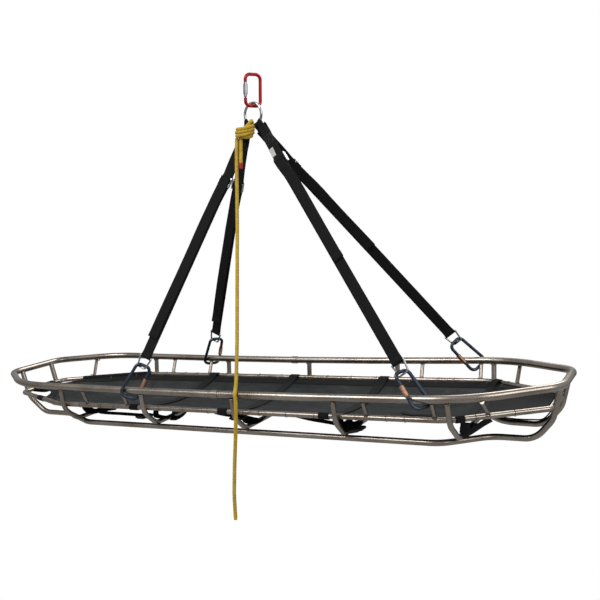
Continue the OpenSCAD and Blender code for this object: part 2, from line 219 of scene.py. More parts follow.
def brushed_tube():
    s = Shader("satin_tube", (0.36, 0.31, 0.26), metallic=1.0, rough=0.3)
    cloud = s.noise(s.coords(), 9, detail=6)
    fine = s.noise(s.coords(scale=(0.06, 1, 1)), 900, detail=3)
    marks = s.noise(s.coords(scale=(1, 3, 3)), 60, detail=8, rough=0.7)
    tone = s.ramp(cloud, [(0.30, (0.23, 0.190, 0.155)), (0.52, (0.37, 0.32, 0.27)),
                          (0.75, (0.45, 0.41, 0.36))])
    dull = s.ramp(marks, [(0.60, (1, 1, 1)), (0.74, (0.62, 0.58, 0.54))])
    s.color(s.mix(1.0, tone, dull, "MULTIPLY"))
    s.rough(s.math("ADD", s.range(cloud, 0.16, 0.34), s.range(fine, -0.03, 0.10)))
    s.bump(fine, 0.25, 0.0002)
    return s.mat


def chrome():
    s = Shader("bright_steel", (0.75, 0.76, 0.78), metallic=1.0, rough=0.12)
    smear = s.noise(s.coords(), 45, detail=6)
    scratch = s.noise(s.coords(scale=(1, 1, 14)), 240, detail=2)
    s.color(s.ramp(smear, [(0.3, (0.34, 0.34, 0.35)), (0.6, (0.60, 0.60, 0.61))]))
    s.rough(s.range(smear, 0.05, 0.26))
    s.bump(scratch, 0.12, 0.0002)
    return s.mat


def dark_steel():
    s = Shader("dark_steel", (0.06, 0.075, 0.10), metallic=0.9, rough=0.32)
    wear = s.noise(s.coords(), 70, detail=8, rough=0.7)
    grain = s.noise(s.coords(), 1400, detail=2)
    s.color(s.ramp(wear, [(0.45, (0.045, 0.060, 0.085)), (0.66, (0.085, 0.11, 0.145)),
                          (0.74, (0.26, 0.28, 0.31))]))
    s.rough(s.range(wear, 0.22, 0.42))
    s.bump(grain, 0.2, 0.0002)
    return s.mat


def red_anodised():
    s = Shader("red_anodised", (0.50, 0.02, 0.02), metallic=0.75, rough=0.3)
    wear = s.noise(s.coords(), 85, detail=8, rough=0.7)
    s.color(s.ramp(wear, [(0.35, (0.36, 0.012, 0.012)), (0.68, (0.52, 0.025, 0.020)),
                          (0.75, (0.55, 0.42, 0.40))]))
    s.rough(s.range(wear, 0.2, 0.42))
    s.bump(s.noise(s.coords(), 1200, detail=2), 0.15, 0.0002)
    return s.mat


def knurled_copper():
    s = Shader("sleeve_copper", (0.60, 0.33, 0.20), metallic=1.0, rough=0.32)
    wear = s.noise(s.coords(), 110, detail=7)
    s.color(s.ramp(wear, [(0.35, (0.50, 0.25, 0.14)), (0.62, (0.68, 0.40, 0.26)),
                          (0.75, (0.70, 0.60, 0.55))]))
    s.rough(s.range(wear, 0.22, 0.45))
    s.bump(s.noise(s.coords(scale=(1, 1, 0.1)), 900, detail=1), 0.4, 0.0004)
    return s.mat


def webbing(name, dark, light):
    """Twill-woven webbing; UV is metres across and along."""
    s = Shader(name, dark, rough=0.85, Specular_IOR_Level=0.12, Sheen_Weight=0.02)
    twill = s.wave(s.coords("UV", (1, 1, 1), (0, 0, 0.7)), 130, "X", 1.2)
    weft = s.wave(s.coords("UV"), 190, "Y", 0.6)
    pattern = s.math("ADD", s.math("MULTIPLY", twill, 0.65), s.math("MULTIPLY", weft, 0.35))
    dust = s.noise(s.coords(), 26, detail=7, rough=0.65)
    base = s.ramp(pattern, [(0.25, dark), (0.8, light)])
    s.color(s.mix(s.range(dust, 0.0, 0.35), base, (0.016, 0.0155, 0.015)))
    s.rough(s.range(dust, 0.62, 0.86))
    s.bump(pattern, 0.55, 0.0006)
    return s.mat


def bed_net():
    """Open woven mesh: yarns both ways with see-through holes; UV is metres."""
    s = Shader("bed_net", (0.03, 0.033, 0.033), rough=0.8, Specular_IOR_Level=0.15)
    across = s.wave(s.coords("UV"), 110, "X")
    along = s.wave(s.coords("UV"), 110, "Y")
    yarn = s.math("MAXIMUM", across, along)
    cloud = s.noise(s.coords(scale=(1, 2.5, 1)), 9, detail=7, rough=0.65, distortion=0.6)
    tone = s.ramp(cloud, [(0.3, (0.016, 0.020, 0.021)), (0.55, (0.034, 0.038, 0.037)),
                          (0.72, (0.060, 0.060, 0.056))])
    s.color(s.mix(s.range(yarn, 0.0, 1.0), (0.010, 0.011, 0.011), tone))
    slant = s.node("LayerWeight")
    slant.inputs["Blend"].default_value = 0.5
    # holes close up as the net turns edge-on
    shut = s.ramp(slant.outputs["Facing"], [(0.45, (0.45, 0.45, 0.45)), (0.93, (1, 1, 1))])
    holes = s.ramp(yarn, [(0.42, (0, 0, 0)), (0.62, (1, 1, 1))])
    s.link(s.mix(holes, shut, (1.0, 1.0, 1.0)), s.bsdf.inputs["Alpha"])
    s.bump(yarn, 0.5, 0.0006)
    return s.mat


def braided_rope():
    """Braided sheath; UV is metres round and along."""
    s = Shader("yellow_sheath", (0.60, 0.39, 0.02), rough=0.62, Sheen_Weight=0.10)
    cloud = s.noise(s.coords(), 60, detail=6)
    right = s.wave(s.coords("UV", (1, 1, 1), (0, 0, 0.8)), 150, "X")
    left = s.wave(s.coords("UV", (1, 1, 1), (0, 0, -0.8)), 150, "X")
    braid = s.math("MAXIMUM", right, left)
    tone = s.ramp(cloud, [(0.3, (0.50, 0.31, 0.010)), (0.6, (0.66, 0.45, 0.022)),
                          (0.78, (0.72, 0.55, 0.09))])
    # painted shade: the grooves between the braid's strands are darkened towards a deep brown, more the lower they
    # lie
    s.color(s.mix(s.range(braid, 0.55, 0.0), tone, (0.28, 0.15, 0.006)))
    s.bump(braid, 0.5, 0.0006)
    return s.mat


def weld_bead():
    s = Shader("weld_bead", (0.20, 0.16, 0.13), metallic=1.0, rough=0.4)
    heat = s.noise(s.coords(), 80, detail=6)
    s.color(s.ramp(heat, [(0.35, (0.10, 0.075, 0.06)), (0.6, (0.26, 0.20, 0.16)),
                          (0.75, (0.30, 0.28, 0.30))]))
    s.rough(s.range(heat, 0.28, 0.55))
    s.bump(s.noise(s.coords(), 500, detail=2), 0.5, 0.0005)
    return s.mat


def plastic(name, color, grain=900):
    s = Shader(name, color, rough=0.45, Specular_IOR_Level=0.3)
    cloud = s.noise(s.coords(), 30, detail=6)
    pale = tuple(min(1, c * 1.8 + 0.01) for c in color)
    s.color(s.ramp(cloud, [(0.35, color), (0.75, pale)]))
    s.rough(s.range(cloud, 0.35, 0.6))
    s.bump(s.noise(s.coords(), grain, detail=2), 0.3, 0.0003)
    return s.mat


WEB_DARK = (0.004, 0.004, 0.0045)
MATERIALS = {
    "frame_tube": brushed_tube(),
    "bright_steel": chrome(),
    "dark_steel": dark_steel(),
    "red_anodised": red_anodised(),
    "sleeve_metal": knurled_copper(),
    "sling_webbing": webbing("sling_webbing", WEB_DARK, (0.013, 0.013, 0.0135)),
    "strap_webbing": webbing("strap_webbing", WEB_DARK, (0.014, 0.014, 0.015)),
    "bed_mesh": bed_net(),
    "rope": braided_rope(),
    "buckle_plastic": plastic("buckle_plastic", (0.012, 0.012, 0.013)),
    "red_tape": plastic("red_tape", (0.28, 0.008, 0.008), 400),
    "thread": plastic("thread", (0.045, 0.045, 0.05), 2000),
    "label": plastic("label", (0.42, 0.42, 0.40), 1500),
    "weld": weld_bead(),
}
SLOT_OF = {s["node"]: s["material_slot"] for s in record["subparts"]}
for name, obj in nodes.items():
    obj.data.materials.clear()
    obj.data.materials.append(MATERIALS[SLOT_OF[name]])


# ---- mesh building -------------------------------------------------------
def place(name, mesh, slot, body, bevel=0.0):
    """Puts a mesh in the scene with its material, riding on a body of the frame."""
    mesh.materials.append(MATERIALS[slot])
    obj = bpy.data.objects.new(name, mesh)
    bpy.context.scene.collection.objects.link(obj)
    if bevel:
        mod = obj.modifiers.new("bevel", "BEVEL")
        mod.width, mod.segments = bevel, 2
        bpy.context.view_layer.objects.active = obj
        with bpy.context.temp_override(object=obj, active_object=obj, selected_objects=[obj]):
            bpy.ops.object.modifier_apply(modifier="bevel")
    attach(obj, body)
    return obj


def loft(name, rings, us, vs, slot, body="litter"):
    """A capped skin through rings of points, [ring][point], with UV in metres."""
    rings = np.asarray(rings)
    n, m = rings.shape[:2]
    mesh = bpy.data.meshes.new(name)
    faces = [(i * m + k, i * m + (k + 1) % m, (i + 1) * m + (k + 1) % m, (i + 1) * m + k)
             for i in range(n - 1) for k in range(m)]
    uvs = [(us[k + a], vs[i + b]) for i in range(n - 1) for k in range(m)
           for a, b in ((0, 0), (1, 0), (1, 1), (0, 1))]
    faces += [tuple(range(m - 1, -1, -1)), tuple((n - 1) * m + k for k in range(m))]
    uvs += [(us[k], vs[0]) for k in range(m - 1, -1, -1)] + [(us[k], vs[-1]) for k in range(m)]
    mesh.from_pydata(rings.reshape(-1, 3).tolist(), [], faces)
    layer = mesh.uv_layers.new(name="UVMap")
    layer.data.foreach_set("uv", np.array(uvs, np.float32).ravel())
    mesh.polygons.foreach_set("use_smooth", [True] * len(mesh.polygons))
    return place(name, mesh, slot, body)


def lengths(path):
    steps = np.linalg.norm(np.diff(path, axis=0), axis=1)
    return np.concatenate([[0], np.cumsum(steps)])


def tangents(path):
    t = np.gradient(path, axis=0)
    return t / np.linalg.norm(t, axis=1)[:, None]


def resample(path, step):
    """Even steps along a path."""
    path = np.asarray(path, float)
    s = lengths(path)
    n = max(2, int(round(s[-1] / step)) + 1)
    at_s = np.linspace(0, s[-1], n)
    return np.stack([np.interp(at_s, s, path[:, k]) for k in range(3)], 1)


def smooth(points, per=8):
    """A Catmull-Rom curve through given points."""
    p = np.asarray(points, float)
    out = []
    for i in range(len(p) - 1):
        a, b, c, d = p[max(i - 1, 0)], p[i], p[i + 1], p[min(i + 2, len(p) - 1)]
        for k in range(per):
            t = k / per
            out.append(0.5 * (2 * b + (c - a) * t + (2 * a - 5 * b + 4 * c - d) * t * t
                              + (3 * b - a - 3 * c + d) * t ** 3))
    out.append(p[-1])
    return np.array(out)


def steady_frames(path, first=(0.3, 1, 0.2)):
    """Two directions square to a path at each point, without twist."""
    t = tangents(path)
    u = np.cross(t[0], first)
    u /= np.linalg.norm(u)
    us = []
    for k in range(len(path)):
        u = u - t[k] * (u @ t[k])
        u = u / np.linalg.norm(u)
        us.append(u)
    us = np.array(us)
    return us, np.cross(t, us)


def tube(name, path, d, slot, body="litter", sides=16, relief=None, taper=0.0):
    """A round tube along a path; relief(angle, length) adds height to its skin."""
    path = np.asarray(path, float)
    u, v = steady_frames(path)
    s = lengths(path)
    angles = 2 * math.pi * np.arange(sides) / sides
    r = np.full((len(path), sides), d / 2)
    if relief is not None:
        r += relief(angles[None, :], s[:, None])
    if taper:
        r *= np.clip(np.minimum(s, s[-1] - s)[:, None] / taper, 0.0, 1) ** 0.5 * 0.75 + 0.25
    rings = (path[:, None, :] + r[..., None] * (np.cos(angles)[None, :, None] * u[:, None, :]
                                                + np.sin(angles)[None, :, None] * v[:, None, :]))
    us = np.arange(sides + 1) / sides * math.pi * d
    return loft(name, rings, us, s, slot, body)


BRAID_PITCH, BRAID_HEIGHT = 0.021, 0.00042


def braid(angle, s):
    """Plaited strands of a rope's sheath, as height over its core."""
    turn = 4 * math.pi * s / BRAID_PITCH
    return BRAID_HEIGHT * (np.maximum(np.cos(4 * angle + turn), np.cos(4 * angle - turn)) - 0.6)


def rope(name, path):
    return tube(name, resample(path, 0.0016), ROPE_D - 0.0003, "rope", sides=24, relief=braid,
                taper=0.004)


WEB_ACROSS = 9                     # points across each face of a strap


def strap(name, path, across, w, t, slot, body="litter", fold=0.0):
    """A flat strap with rounded edges along a path; its width direction, width, thickness and
    lengthwise fold may change from point to point."""
    path = np.asarray(path, float)
    n = len(path)
    across = np.broadcast_to(np.asarray(across, float), path.shape)
    w, t, fold = (np.broadcast_to(np.asarray(v, float), n)[:, None] for v in (w, t, fold))
    tan = tangents(path)
    acr = across - tan * (across * tan).sum(1)[:, None]
    acr = acr / np.linalg.norm(acr, axis=1)[:, None]
    nor = np.cross(tan, acr)
    flat = np.linspace(-0.96, 0.96, WEB_ACROSS)
    xs = np.concatenate([flat, [1.0], flat[::-1], [-1.0]])[None]
    side = np.concatenate([-np.ones(WEB_ACROSS), [0], np.ones(WEB_ACROSS), [0]])[None]
    out = side * t / 2 + fold * np.cos(2 * math.pi * xs)
    rings = (path[:, None, :] + (xs * w / 2)[..., None] * acr[:, None, :]
             + out[..., None] * nor[:, None, :])
    half = float(w.max()) / 2
    edge = np.concatenate([xs[0], xs[0][:1]]) * half
    us = np.concatenate([[0], np.cumsum(np.abs(np.diff(edge)) + 1e-4)])
    return loft(name, rings, us, lengths(path), slot, body)


def box(name, centre, along, across, size, slot, body="litter", bevel=0.0012):
    """A block with bevelled edges, its size given along, across and out."""
    out = np.cross(along, across)
    mesh = bpy.data.meshes.new(name)
    corners = [vec(centre) + along * size[0] / 2 * i + across * size[1] / 2 * j
               + out * size[2] / 2 * k for i in (-1, 1) for j in (-1, 1) for k in (-1, 1)]
    faces = [(0, 1, 3, 2), (4, 6, 7, 5), (0, 4, 5, 1), (2, 3, 7, 6), (0, 2, 6, 4), (1, 5, 7, 3)]
    mesh.from_pydata([tuple(c) for c in corners], [], faces)
    return place(name, mesh, slot, body, bevel)


def arc(centre, a, b, r, start=0.0, end=math.pi, n=9):
    """Points round a centre, from direction a towards direction b."""
    return [vec(centre) + r * (math.cos(q) * vec(a) + math.sin(q) * vec(b))
            for q in np.linspace(start, end, n)]


def ease(x):
    x = np.clip(x, 0, 1)
    return x * x * (3 - 2 * x)


# ---- bridle legs ---------------------------------------------------------
WEB_W, WEB_T = 0.038, 0.0021
BAR = 0.003                        # radius of the adjuster's and the link's bars
LOW_BAR, TOP_BAR = -0.015, 0.011   # the adjuster's bars from its cam pin
PLY = 0.0012                       # each layer of a leg from the leg's middle plane
LEAD = 0.0036                      # a layer from that plane where it reaches a bar
WRAP = BAR + WEB_T / 2 + 0.0001    # webbing's middle from the middle of the bar it goes round
OVER_CAM = BAR + WEB_T * 1.5 + 0.0004
RING_WRAP = RING_WIRE / 2 + 0.0017
NECK, GATHERED = 0.052, 0.0185     # length over which a leg gathers to the ring, and its width there
ADJUSTER_SHIFT, SHIFT_REACH = 0.0032, 0.05
TAIL_END = {1: 0.070, 2: 0.050, 3: 0.375, 4: 0.405}
TAIL_STEPS, TAIL_ASIDE = 25, 0.0045
STITCH_LEN, STITCH_HALF = 0.034, 0.0135
LABELLED_LEG = 3


def node_points(name):
    obj = nodes[name]
    m = np.array(obj.matrix_world)
    co = np.empty(len(obj.data.vertices) * 3)
    obj.data.vertices.foreach_get("co", co)
    return co.reshape(-1, 3) @ m[:3, :3].T + m[:3, 3]


class Leg:
    """Places along one leg, measured up from the bar of its wire link."""

    def __init__(self, k):
        self.k = k
        self.up = unit(joints[f"rail_sleeve_{k}_travel"]["axis"])
        self.across = unit(joints[f"cam_{k}_lever"]["axis"])
        self.front = -unit(np.cross(self.up, self.across))
        self.outward = -1 if self.up[0] > 0 else 1
        pin = vec(joints[f"cam_{k}_lever"]["pos_m"])
        link_bar = (node_points(f"wire_link_{k}") @ self.up).max() - BAR
        self.base = pin + self.up * (link_bar - pin @ self.up)
        self.cam = (pin - self.base) @ self.up
        self.low, self.top = self.cam + LOW_BAR, self.cam + TOP_BAR
        # the eye is where the leg's line meets the ring
        q = self.base - RING
        b = q @ self.up
        self.reach = -b - math.sqrt(b * b - q @ q + RING_R ** 2)
        self.eye = self.base + self.up * self.reach
        along_wire = unit(np.cross(RING_AXIS, self.eye - RING))
        self.at_ring = along_wire if along_wire @ self.across > 0 else -along_wire
        self.splice = self.reach * 0.62 + self.cam * 0.38

    def point(self, s, off=0.0, side=0.0):
        """A point s up the leg, off to the front and to the side; the adjuster draws it inward."""
        near = math.exp(-(((s - self.cam) / SHIFT_REACH) ** 2))
        inward = -self.outward * ADJUSTER_SHIFT * near
        return self.base + self.up * s + self.front * off + self.across * (side + inward)


def make_lower_strap(leg):
    """Sewn round the low bar, down the back, round the link, up the front, over the cam and
    down again as a loose tail that ends in a hem."""
    p, low, cam, front, k = leg.point, leg.low, leg.cam, leg.front, leg.k
    route = [p(s) for s in np.arange(low - 0.034, low - 0.012, 0.004)] + [p(low - 0.006, LEAD)]
    route += arc(p(low), front, leg.up, WRAP)
    route += [p(low - 0.008, -LEAD), p(low - 0.02, -0.0026), p(low - 0.036, -0.0022)]
    route += [p(s, -PLY) for s in np.arange(low - 0.055, 0.016, -0.02)]
    route += [p(0.007, -LEAD)] + arc(p(0), -front, -leg.up, WRAP) + [p(0.007, LEAD)]
    route += [p(s, PLY) for s in np.arange(0.016, low - 0.05, 0.02)]
    route += [p(low - 0.03, 0.0026), p(low - 0.01, OVER_CAM - 0.001), p(low, OVER_CAM)]
    route += [p(cam - 0.004, OVER_CAM), p(cam + 0.004, OVER_CAM + 0.0002)]
    route += arc(p(cam + 0.0065, OVER_CAM + 0.0022), -front, leg.up, 0.0021, n=7)
    for i, s in enumerate(np.linspace(cam - 0.006, TAIL_END[k], TAIL_STEPS + 1)):
        f = i / TAIL_STEPS
        lift = OVER_CAM + 0.0024 - 0.0035 * ease(f * 5) + 0.0011 * math.sin(9 * f + k) * f
        aside = TAIL_ASIDE * ease(f * 3) + 0.0012 * math.sin(5 * f + 2 * k)
        route.append(p(s, lift, leg.outward * aside))
    path = resample(smooth(route, 4), 0.0042)
    strap(f"leg_{k}_lower_strap", path, leg.across, WEB_W, WEB_T, "sling_webbing")
    hem = [p(TAIL_END[k] + q, OVER_CAM - 0.001, leg.outward * TAIL_ASIDE)
           for q in (0.0, 0.006, 0.014, 0.022)]
    strap(f"leg_{k}_tail_hem", hem, leg.across, WEB_W + 0.0006, 0.0036, "sling_webbing")


def make_upper_strap(leg):
    """One band round the adjuster's top bar and the ring, gathered where it meets the ring."""
    p, top, reach, splice = leg.point, leg.top, leg.reach, leg.splice
    route, gather = [], []

    def add(points, share=0.0):
        route.extend(points)
        gather.extend([share] * len(points))

    def neck(face, shares):
        for f in shares:
            off = PLY + (RING_WRAP - PLY) * ease((f - 0.5) * 2)
            add([p(reach - NECK * (1 - f), face * off)], f)

    shares = np.linspace(0.1, 1, 8)
    add([p(s, -0.0034) for s in np.linspace(splice + 0.045, splice + 0.01, 4)])
    add([p(s, -PLY) for s in np.linspace(splice - 0.004, top + 0.014, 6)])
    add([p(top + 0.006, -LEAD)] + arc(p(top), -leg.front, -leg.up, WRAP) + [p(top + 0.006, LEAD)])
    add([p(s, PLY) for s in np.linspace(top + 0.012, reach - NECK, 12)])
    neck(1, shares)
    add(arc(leg.eye, leg.front, leg.up, RING_WRAP, 0.25, math.pi - 0.25), 1.0)
    neck(-1, shares[::-1])
    add([p(s, -PLY) for s in np.linspace(reach - NECK, splice + 0.05, 5)])
    add([p(s, -PLY) for s in np.linspace(splice + 0.03, splice, 3)])
    curve = smooth(route, 4)
    path = resample(curve, 0.0036)
    share = smooth(np.stack([gather] * 3, 1), 4)[:, 0]
    f = ease(np.interp(lengths(path), lengths(curve), share))
    across = leg.across * (1 - f)[:, None] + leg.at_ring * f[:, None]
    upper = strap(f"leg_{leg.k}_upper_strap", path, across, WEB_W + (GATHERED - WEB_W) * f,
                  WEB_T + 0.0012 * f, "sling_webbing",
                  fold=0.0034 * np.sin(math.pi * np.clip(f, 0, 1)) ** 1.2)
    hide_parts(f"webbing_leg_{leg.k}")


def make_stitching(leg):
    """Thread of three sewn boxes with a cross in each, on the faces of the straps."""
    starts = ((leg.reach - NECK - 0.045, 0.0025), (leg.low - 0.05, 0.0039),
              (leg.splice + 0.008, -0.0047))
    b = STITCH_HALF
    for j, (s0, out) in enumerate(starts):
        s1 = s0 + STITCH_LEN
        corners = [(s0, -b), (s1, -b), (s1, b), (s0, b), (s0, -b), (s1, b), (s0, b), (s1, -b)]
        path = resample([leg.point(s, out, side) for s, side in corners], 0.002)
        ripple = np.arange(len(path)) % 2 * 0.0003
        tube(f"leg_{leg.k}_stitching_{j}", path + ripple[:, None] * leg.front, 0.0011, "thread",
             sides=6)


def make_label(leg):
    route = [leg.point(leg.reach - 0.146 + 0.001 * i, 0.0026 + 0.0006 * math.sin(i / 5), -0.0105)
             for i in range(0, 36, 3)]
    strap("sewn_label", route, leg.across, 0.017, 0.0007, "label")


for leg in map(Leg, (1, 2, 3, 4)):
    make_lower_strap(leg)
    make_upper_strap(leg)
    make_stitching(leg)
    if leg.k == LABELLED_LEG:
        make_label(leg)


# ---- bed -----------------------------------------------------------------
BED_FOOT, BED_HEAD = -1.012, 1.000
FOOT_BAR = -1.028                  # the middle rail's bar across the foot
FULL_HALF = 0.2485                 # half the bed's width between the straight rails
SAG = 0.035
BINDING, BED_EDGE = 0.045, 0.998   # the bindings' width, and their outer edge as a share of the bed's
PANEL_FOOT, PANEL_HEAD = 0.800, 0.999
TONGUE_W = 0.114


def mid_half(x):
    """Half the distance between the middle rails' centres."""
    return float(np.interp(x, [FOOT_BAR, -0.700, 0.758, 1.021], [0.112, 0.261, 0.261, 0.090]))


def bed_half(x, far=False):
    """Half the bed's width: it leaves the rails at the foot, the far one later, for a tongue."""
    inside = mid_half(x) - 0.0125
    t = (x - FOOT_BAR) / (0.095 if far else 0.178)
    return min(inside, 0.058 + 0.122 * t ** 4) if t < 1 else inside


def bed_point(x, v, lift=0.0):
    """A place on the bed, v from -1 at its near edge to 1 at its far one."""
    sag = SAG * (bed_half(x) / FULL_HALF) ** 1.5 * (1 - v * v)
    wave = 0.0016 * math.sin(9 * x + 3 * v) * (1 - v * v)
    return at(x, v * bed_half(x, v > 0), mid_rail_z(x) - 0.002 - sag + wave + lift)


def bed_skin(name, x0, x1, v0, v1, lift, t, slot, nx=120, nv=25):
    """A layer of the bed; v0 and v1 give its edges at each x."""
    rings, xs = [], np.linspace(x0, x1, nx)
    for x in xs:
        vs = np.linspace(v0(x), v1(x), nv)
        rings.append([bed_point(x, v, lift) for v in vs]
                     + [bed_point(x, v, lift - t) for v in vs[::-1]])
    width = np.linspace(0, (v1(0) - v0(0)) * FULL_HALF, nv)
    us = np.concatenate([width, width[::-1], [0]])
    return loft(name, rings, us, xs, slot)


def rail_frame(x, s):
    """Centre, direction and outward direction of a middle rail."""
    a, b = mid_half(x - 0.002), mid_half(x + 0.002)
    run = unit(ALONG * 0.004 + SIDE * s * (b - a))
    out = unit(SIDE * s - run * (SIDE * s @ run))
    return at(x, s * mid_half(x), mid_rail_z(x)), run, out


def join(name, parts):
    """One piece from several that ride together."""
    first = parts[0]
    with bpy.context.temp_override(object=first, active_object=first, selected_objects=parts,
                                   selected_editable_objects=parts):
        bpy.ops.object.join()
    first.name = name
    return first


BANDS = [-0.353, 0.008, 0.372, 0.773]
BAND_W, BAND_T = [0.036, 0.036, 0.036, 0.028], 0.0016


def make_band(i, x):
    """A strap across the bed, wrapped round both middle rails and tucked under."""
    route, across = [], []

    def add(points, direction):
        route.extend(points)
        across.extend([direction] * len(points))

    for s in (-1, 1):
        shift = rail_frame(x, s)[2] @ ALONG * 0.03
        c, run, out = rail_frame(x + shift, s)
        under = [bed_point(x, s * v, -0.0045) for v in (0.66, 0.76, 0.85)]
        under.append(c - out * 0.018 - UP * 0.0105)
        wrap = arc(c, -UP, out, MID_R + 0.0012, 0.15, math.pi - 0.15)
        over = [c - out * 0.018 + UP * 0.006, bed_point(x, s * 0.86, 0.0042)]
        if s < 0:
            add(under, run), add(wrap, run), add(over, run)
            add([bed_point(x, v, 0.0034) for v in np.linspace(-0.75, 0.75, 13)], ALONG)
        else:
            add(over[::-1], run), add(wrap[::-1], run), add(under[::-1], run)
    path = smooth(route, 4)
    return strap(f"strap_band_{i}", path, smooth(across, 4), BAND_W[i - 1], BAND_T, "strap_webbing")


def make_lacing():
    """Cord loops that hold the bed's binding to the middle rails, clear of bands, posts and ribs."""
    keep_off = BANDS + [x for x, _, _ in POSTS] + RIBS
    loops = []
    for x in np.arange(-0.830, 0.960, 0.0975):
        if min(abs(x - k) for k in keep_off) < 0.030:
            x += 0.040
        for s in (-1, 1):
            c, run, out = rail_frame(x, s)
            inner = c - out * 0.026
            path = arc(c, UP, out, MID_R + 0.0014, -0.2, math.pi + 0.2)
            path += [inner - UP * 0.007 - out * 0.002, inner - out * 0.008 - UP * 0.003,
                     inner - out * 0.002 + UP * 0.003, path[0]]
            loops.append(tube("lacing", smooth(path, 4), 0.0013, "weld", sides=6))
    return join("bed_lacing", loops)


def make_binding(s, name):
    """A band of webbing along one long edge of the bed."""
    def inner(x):
        half = bed_half(x, s > 0)
        return s * (1 - min(BINDING, half * 0.85) / half)

    def outer(x):
        return s * BED_EDGE

    low, high = (outer, inner) if s < 0 else (inner, outer)
    return bed_skin(f"bed_binding_{name}", BED_FOOT, BED_HEAD, low, high, 0.0012, 0.0011,
                    "strap_webbing", nx=160, nv=7)


def make_tongue():
    """The bed's foot, folded round the foot bar."""
    z = mid_rail_z(-0.98)
    route = [at(-0.955, 0, z - 0.002), at(-0.985, 0, z + 0.002)]
    route += arc(at(FOOT_BAR, 0, mid_rail_z(FOOT_BAR)), UP, -ALONG, MID_R + 0.0012, 0.1, 3.05)
    route += [at(-0.990, 0, z - 0.012), at(-0.960, 0, z - 0.011)]
    return strap("tongue_wrap", smooth(route, 4), SIDE, TONGUE_W, 0.0018, "strap_webbing")


def make_rail_wraps():
    """The bed's edge turned round the rail: along the far one at the foot, and where the near
    cut starts."""
    shoulder = [(x, mid_half(x) - (0.0035 if abs(x + 0.7) < 0.01 else 0))
                for x in (-0.945, -0.90, -0.85, -0.80, -0.74, -0.70, -0.672)]
    far = smooth([at(x, y, mid_rail_z(x)) for x, y in shoulder], 6)
    near = [at(x, -mid_half(x), mid_rail_z(x)) for x in (-0.868, -0.855, -0.842, -0.828)]
    return [tube(f"rail_wrap_{name}", path, 2 * MID_R + 0.0034, "strap_webbing", sides=20)
            for name, path in (("far", far), ("near", near))]


def make_loose_end():
    """A strap's end that lies on the bed."""
    route = [bed_point(x, v, 0.0036) for x, v in ((0.555, -0.20), (0.562, -0.28), (0.578, -0.36),
                                                 (0.600, -0.395), (0.630, -0.40), (0.662, -0.405))]
    across = [ALONG, ALONG, ALONG + SIDE, SIDE, SIDE, SIDE]
    strap("loose_strap_end", smooth(route, 5), smooth(across, 5), 0.020, BAND_T, "strap_webbing")


def make_bed():
    bed = bed_skin("bed_net", BED_FOOT, BED_HEAD, lambda x: -1.0, lambda x: 1.0, 0.0, 0.0012,
                   "bed_mesh", nx=200)
    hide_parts("mesh_bed")
    parts = [make_binding(s, name) for s, name in ((-1, "near"), (1, "far"))]
    parts.append(bed_skin("head_panel", PANEL_FOOT, PANEL_HEAD, lambda x: -0.99, lambda x: 0.99,
                          0.0024, 0.0011, "strap_webbing", nx=40, nv=17))
    parts += [make_tongue(), make_lacing()] + make_rail_wraps()
    bands = [make_band(i, x) for i, x in enumerate(BANDS, 1)]
    make_loose_end()
    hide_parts("restraint_straps")


make_bed()


# ---- stowed straps and buckles -------------------------------------------
STOW_Y, STOWED_T = -0.195, 0.0018
# Each strap's middle line (along, up) in millimetres, its width and its turn in degrees
STOWED = [
    ([(-636, -80), (-628, -94), (-606, -104), (-575, -102), (-530, -92), (-480, -84)], 32, 24),
    ([(-580, -100), (-549, -107), (-460, -108), (-384, -110)], 24, 8),
    ([(-311, -84), (-314, -104), (-300, -112), (-258, -112), (-242, -105), (-235, -84)], 28, 6),
    ([(-250, -113), (-225, -112), (-205, -103), (-188, -92), (-178, -82)], 24, 28),
    ([(-62, -86), (-28, -92), (7, -95)], 24, 8),
    ([(35, -85), (48, -105), (62, -111), (95, -111), (118, -101), (135, -85)], 30, 10),
    ([(55, -97), (78, -101), (100, -102)], 20, 10),
    ([(247, -85), (300, -93), (370, -101), (400, -110)], 24, 8),
    ([(385, -84), (393, -101), (408, -111), (435, -111), (455, -104), (470, -88)], 38, 24),
    ([(420, -86), (430, -100), (442, -101), (455, -94)], 30, 20),
]
BUCKLES = [((-368, -195, -112), 0), ((22, -195, -99), 0), ((446, -195, -118), 12),
           ((792, -160, -100), 0)]


def side_release_buckle(name, centre, turn):
    """Two-part plastic buckle: a body, the prongs' shoulders and a strap bar."""
    a = math.radians(turn)
    along = ALONG * math.cos(a) + UP * math.sin(a)
    c = in_litter([centre])[0]
    # each block: its place along and across, then its size
    blocks = [((0.0, 0.0), (0.030, 0.046, 0.011)), ((0.021, 0.0), (0.014, 0.036, 0.008)),
              ((0.012, 0.021), (0.016, 0.009, 0.008)), ((0.012, -0.021), (0.016, 0.009, 0.008)),
              ((-0.019, 0.0), (0.007, 0.044, 0.007))]
    parts = [box(name, c + along * u + SIDE * v, along, SIDE, size, "buckle_plastic", bevel=0.0016)
             for (u, v), size in blocks]
    return join(name, parts)


